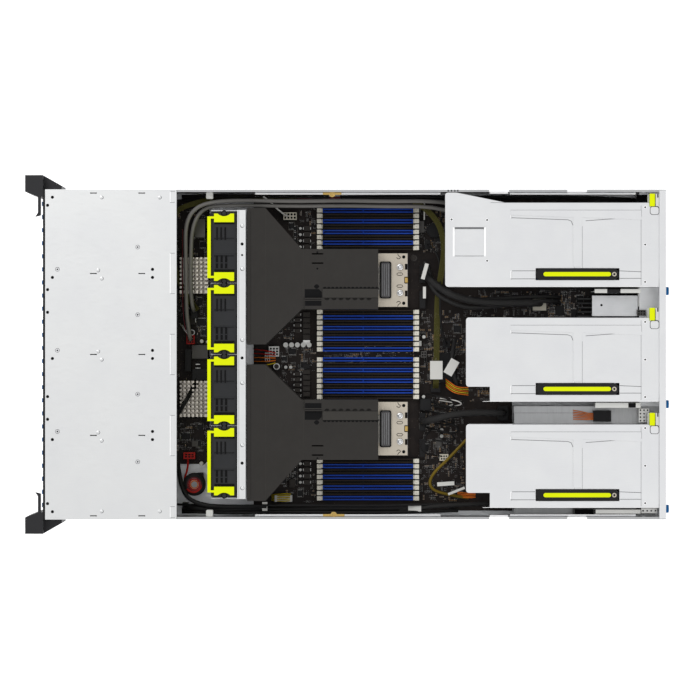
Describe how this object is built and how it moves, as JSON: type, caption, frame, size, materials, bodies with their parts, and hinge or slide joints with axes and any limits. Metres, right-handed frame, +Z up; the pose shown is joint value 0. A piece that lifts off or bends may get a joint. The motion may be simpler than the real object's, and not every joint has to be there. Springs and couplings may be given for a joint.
{
  "type": "rack server",
  "caption": "Open-topped 2U rack server with front drive carriers, lift-out fans and air ducts, processors, memory slots, riser cages and rear power supplies.",
  "frame": {"origin": "centre of the box round the whole server, on its underside", "axes": "+Z up, -Y out of the front where the drive carriers are, +Y out of the rear, +X to the right as seen from the front"},
  "size_m": [0.4826, 0.8666, 0.088],
  "materials": {
    "zinc_steel": "zinc-coated sheet, fine even grain, satin",
    "cover_steel": "zinc-coated sheet, bright satin",
    "riser_steel": "zinc-coated sheet, satin",
    "supply_steel": "plated case, satin",
    "nickel_plate": "nickel-plated plate and aluminium fins, satin",
    "screw_steel": "plated screws; knobs have blue plastic caps",
    "circuit_board": "dark solder mask with fine tracks",
    "component_plastic": "moulded plugs, coils and port shells",
    "slot_plastic": "blue and black slots with cream ejectors",
    "carrier_plastic": "black moulding with a blue release tab",
    "black_plastic": "fine-textured moulding",
    "fan_plastic": "charcoal housing with a lime bail",
    "rotor_plastic": "glass-filled moulding",
    "duct_plastic": "satin charcoal moulding",
    "handle_plastic": "black moulding with a lime inlay",
    "lime_plastic": "lime moulding, low gloss",
    "button_plastic": "grey push button",
    "cable_jacket": "grey, olive and black jackets and braid"
  },
  "bodies": {
    "chassis": {"chassis_tray": "zinc_steel", "rear_panel": "zinc_steel", "power_supply_bay": "zinc_steel", "drive_bay_cover": "cover_steel", "drive_cage": "zinc_steel", "drive_backplane": "circuit_board", "rack_ears": "black_plastic", "fan_cage": "zinc_steel", "motherboard": "circuit_board", "board_components": "component_plastic", "memory_slots": "slot_plastic", "cpu_heatsinks": "nickel_plate", "cables": "cable_jacket", "fasteners": "screw_steel"},
    "drive_carrier_01": {"drive_carrier_01": "carrier_plastic"},
    "drive_carrier_02": {"drive_carrier_02": "carrier_plastic"},
    "drive_carrier_03": {"drive_carrier_03": "carrier_plastic"},
    "drive_carrier_04": {"drive_carrier_04": "carrier_plastic"},
    "drive_carrier_05": {"drive_carrier_05": "carrier_plastic"},
    "drive_carrier_06": {"drive_carrier_06": "carrier_plastic"},
    "drive_carrier_07": {"drive_carrier_07": "carrier_plastic"},
    "drive_carrier_08": {"drive_carrier_08": "carrier_plastic"},
    "drive_carrier_09": {"drive_carrier_09": "carrier_plastic"},
    "drive_carrier_10": {"drive_carrier_10": "carrier_plastic"},
    "drive_carrier_11": {"drive_carrier_11": "carrier_plastic"},
    "drive_carrier_12": {"drive_carrier_12": "carrier_plastic"},
    "drive_carrier_13": {"drive_carrier_13": "carrier_plastic"},
    "drive_carrier_14": {"drive_carrier_14": "carrier_plastic"},
    "drive_carrier_15": {"drive_carrier_15": "carrier_plastic"},
    "drive_carrier_16": {"drive_carrier_16": "carrier_plastic"},
    "drive_carrier_17": {"drive_carrier_17": "carrier_plastic"},
    "drive_carrier_18": {"drive_carrier_18": "carrier_plastic"},
    "drive_carrier_19": {"drive_carrier_19": "carrier_plastic"},
    "drive_carrier_20": {"drive_carrier_20": "carrier_plastic"},
    "drive_carrier_21": {"drive_carrier_21": "carrier_plastic"},
    "drive_carrier_22": {"drive_carrier_22": "carrier_plastic"},
    "drive_carrier_23": {"drive_carrier_23": "carrier_plastic"},
    "drive_carrier_24": {"drive_carrier_24": "carrier_plastic"},
    "fan_module_1": {"fan_module_1": "fan_plastic"},
    "fan_module_2": {"fan_module_2": "fan_plastic"},
    "fan_module_3": {"fan_module_3": "fan_plastic"},
    "fan_module_4": {"fan_module_4": "fan_plastic"},
    "fan_rotor_1": {"fan_rotor_1": "rotor_plastic"},
    "fan_rotor_2": {"fan_rotor_2": "rotor_plastic"},
    "fan_rotor_3": {"fan_rotor_3": "rotor_plastic"},
    "fan_rotor_4": {"fan_rotor_4": "rotor_plastic"},
    "air_duct_left": {"air_duct_left": "duct_plastic"},
    "air_duct_right": {"air_duct_right": "duct_plastic"},
    "riser_cage_1": {"riser_cage_1": "riser_steel"},
    "riser_cage_2": {"riser_cage_2": "riser_steel"},
    "riser_cage_3": {"riser_cage_3": "riser_steel"},
    "riser_handle_1": {"riser_handle_1": "handle_plastic"},
    "riser_handle_2": {"riser_handle_2": "handle_plastic"},
    "riser_handle_3": {"riser_handle_3": "handle_plastic"},
    "riser_catch_1": {"riser_catch_1": "lime_plastic"},
    "riser_catch_2": {"riser_catch_2": "lime_plastic"},
    "riser_catch_3": {"riser_catch_3": "lime_plastic"},
    "power_supply_1": {"power_supply_1": "supply_steel"},
    "power_supply_2": {"power_supply_2": "supply_steel"},
    "power_button": {"power_button": "button_plastic"}
  },
  "joints": [
    {"name": "drive_carrier_01_slide", "type": "slide", "parent": "chassis", "child": "drive_carrier_01", "axis": [0, -1, 0], "range_m": [0, 0.155]},
    {"name": "drive_carrier_02_slide", "type": "slide", "parent": "chassis", "child": "drive_carrier_02", "axis": [0, -1, 0], "range_m": [0, 0.155]},
    {"name": "drive_carrier_03_slide", "type": "slide", "parent": "chassis", "child": "drive_carrier_03", "axis": [0, -1, 0], "range_m": [0, 0.155]},
    {"name": "drive_carrier_04_slide", "type": "slide", "parent": "chassis", "child": "drive_carrier_04", "axis": [0, -1, 0], "range_m": [0, 0.155]},
    {"name": "drive_carrier_05_slide", "type": "slide", "parent": "chassis", "child": "drive_carrier_05", "axis": [0, -1, 0], "range_m": [0, 0.155]},
    {"name": "drive_carrier_06_slide", "type": "slide", "parent": "chassis", "child": "drive_carrier_06", "axis": [0, -1, 0], "range_m": [0, 0.155]},
    {"name": "drive_carrier_07_slide", "type": "slide", "parent": "chassis", "child": "drive_carrier_07", "axis": [0, -1, 0], "range_m": [0, 0.155]},
    {"name": "drive_carrier_08_slide", "type": "slide", "parent": "chassis", "child": "drive_carrier_08", "axis": [0, -1, 0], "range_m": [0, 0.155]},
    {"name": "drive_carrier_09_slide", "type": "slide", "parent": "chassis", "child": "drive_carrier_09", "axis": [0, -1, 0], "range_m": [0, 0.155]},
    {"name": "drive_carrier_10_slide", "type": "slide", "parent": "chassis", "child": "drive_carrier_10", "axis": [0, -1, 0], "range_m": [0, 0.155]},
    {"name": "drive_carrier_11_slide", "type": "slide", "parent": "chassis", "child": "drive_carrier_11", "axis": [0, -1, 0], "range_m": [0, 0.155]},
    {"name": "drive_carrier_12_slide", "type": "slide", "parent": "chassis", "child": "drive_carrier_12", "axis": [0, -1, 0], "range_m": [0, 0.155]},
    {"name": "drive_carrier_13_slide", "type": "slide", "parent": "chassis", "child": "drive_carrier_13", "axis": [0, -1, 0], "range_m": [0, 0.155]},
    {"name": "drive_carrier_14_slide", "type": "slide", "parent": "chassis", "child": "drive_carrier_14", "axis": [0, -1, 0], "range_m": [0, 0.155]},
    {"name": "drive_carrier_15_slide", "type": "slide", "parent": "chassis", "child": "drive_carrier_15", "axis": [0, -1, 0], "range_m": [0, 0.155]},
    {"name": "drive_carrier_16_slide", "type": "slide", "parent": "chassis", "child": "drive_carrier_16", "axis": [0, -1, 0], "range_m": [0, 0.155]},
    {"name": "drive_carrier_17_slide", "type": "slide", "parent": "chassis", "child": "drive_carrier_17", "axis": [0, -1, 0], "range_m": [0, 0.155]},
    {"name": "drive_carrier_18_slide", "type": "slide", "parent": "chassis", "child": "drive_carrier_18", "axis": [0, -1, 0], "range_m": [0, 0.155]},
    {"name": "drive_carrier_19_slide", "type": "slide", "parent": "chassis", "child": "drive_carrier_19", "axis": [0, -1, 0], "range_m": [0, 0.155]},
    {"name": "drive_carrier_20_slide", "type": "slide", "parent": "chassis", "child": "drive_carrier_20", "axis": [0, -1, 0], "range_m": [0, 0.155]},
    {"name": "drive_carrier_21_slide", "type": "slide", "parent": "chassis", "child": "drive_carrier_21", "axis": [0, -1, 0], "range_m": [0, 0.155]},
    {"name": "drive_carrier_22_slide", "type": "slide", "parent": "chassis", "child": "drive_carrier_22", "axis": [0, -1, 0], "range_m": [0, 0.155]},
    {"name": "drive_carrier_23_slide", "type": "slide", "parent": "chassis", "child": "drive_carrier_23", "axis": [0, -1, 0], "range_m": [0, 0.155]},
    {"name": "drive_carrier_24_slide", "type": "slide", "parent": "chassis", "child": "drive_carrier_24", "axis": [0, -1, 0], "range_m": [0, 0.155]},
    {"name": "fan_module_1_lift", "type": "slide", "parent": "chassis", "child": "fan_module_1", "axis": [0, 0, 1], "range_m": [0, 0.09]},
    {"name": "fan_module_2_lift", "type": "slide", "parent": "chassis", "child": "fan_module_2", "axis": [0, 0, 1], "range_m": [0, 0.09]},
    {"name": "fan_module_3_lift", "type": "slide", "parent": "chassis", "child": "fan_module_3", "axis": [0, 0, 1], "range_m": [0, 0.09]},
    {"name": "fan_module_4_lift", "type": "slide", "parent": "chassis", "child": "fan_module_4", "axis": [0, 0, 1], "range_m": [0, 0.09]},
    {"name": "fan_rotor_1_spin", "type": "hinge", "parent": "fan_module_1", "child": "fan_rotor_1", "pos_m": [-0.1443, -0.166, 0.0427], "axis": [0, 1, 0], "continuous": true},
    {"name": "fan_rotor_2_spin", "type": "hinge", "parent": "fan_module_2", "child": "fan_rotor_2", "pos_m": [-0.0481, -0.166, 0.0427], "axis": [0, 1, 0], "continuous": true},
    {"name": "fan_rotor_3_spin", "type": "hinge", "parent": "fan_module_3", "child": "fan_rotor_3", "pos_m": [0.0481, -0.166, 0.0427], "axis": [0, 1, 0], "continuous": true},
    {"name": "fan_rotor_4_spin", "type": "hinge", "parent": "fan_module_4", "child": "fan_rotor_4", "pos_m": [0.1443, -0.166, 0.0427], "axis": [0, 1, 0], "continuous": true},
    {"name": "air_duct_left_lift", "type": "slide", "parent": "chassis", "child": "air_duct_left", "axis": [0, 0, 1], "range_m": [0, 0.1]},
    {"name": "air_duct_right_lift", "type": "slide", "parent": "chassis", "child": "air_duct_right", "axis": [0, 0, 1], "range_m": [0, 0.1]},
    {"name": "riser_cage_1_lift", "type": "slide", "parent": "chassis", "child": "riser_cage_1", "axis": [0, 0, 1], "range_m": [0, 0.1]},
    {"name": "riser_cage_2_lift", "type": "slide", "parent": "chassis", "child": "riser_cage_2", "axis": [0, 0, 1], "range_m": [0, 0.1]},
    {"name": "riser_cage_3_lift", "type": "slide", "parent": "chassis", "child": "riser_cage_3", "axis": [0, 0, 1], "range_m": [0, 0.1]},
    {"name": "riser_handle_1_hinge", "type": "hinge", "parent": "riser_cage_1", "child": "riser_handle_1", "pos_m": [-0.108, 0.35975, 0.0846], "axis": [-1, 0, 0], "range_deg": [0, 90]},
    {"name": "riser_handle_2_hinge", "type": "hinge", "parent": "riser_cage_2", "child": "riser_handle_2", "pos_m": [0.0464, 0.35975, 0.0846], "axis": [-1, 0, 0], "range_deg": [0, 90]},
    {"name": "riser_handle_3_hinge", "type": "hinge", "parent": "riser_cage_3", "child": "riser_handle_3", "pos_m": [0.1892, 0.35975, 0.0846], "axis": [-1, 0, 0], "range_deg": [0, 90]},
    {"name": "riser_catch_1_hinge", "type": "hinge", "parent": "riser_cage_1", "child": "riser_catch_1", "pos_m": [-0.2078, 0.41235, 0.0833], "axis": [-1, 0, 0], "range_deg": [0, 60]},
    {"name": "riser_catch_2_hinge", "type": "hinge", "parent": "riser_cage_2", "child": "riser_catch_2", "pos_m": [-0.0543, 0.41235, 0.0833], "axis": [-1, 0, 0], "range_deg": [0, 60]},
    {"name": "riser_catch_3_hinge", "type": "hinge", "parent": "riser_cage_3", "child": "riser_catch_3", "pos_m": [0.087, 0.41235, 0.0833], "axis": [-1, 0, 0], "range_deg": [0, 60]},
    {"name": "power_supply_1_slide", "type": "slide", "parent": "chassis", "child": "power_supply_1", "axis": [0, 1, 0], "range_m": [0, 0.185]},
    {"name": "power_supply_2_slide", "type": "slide", "parent": "chassis", "child": "power_supply_2", "axis": [0, 1, 0], "range_m": [0, 0.185]},
    {"name": "power_button_press", "type": "slide", "parent": "chassis", "child": "power_button", "axis": [0, 1, 0], "range_m": [0, 0.0012], "stiffness_N_per_m": 200}
  ]
}
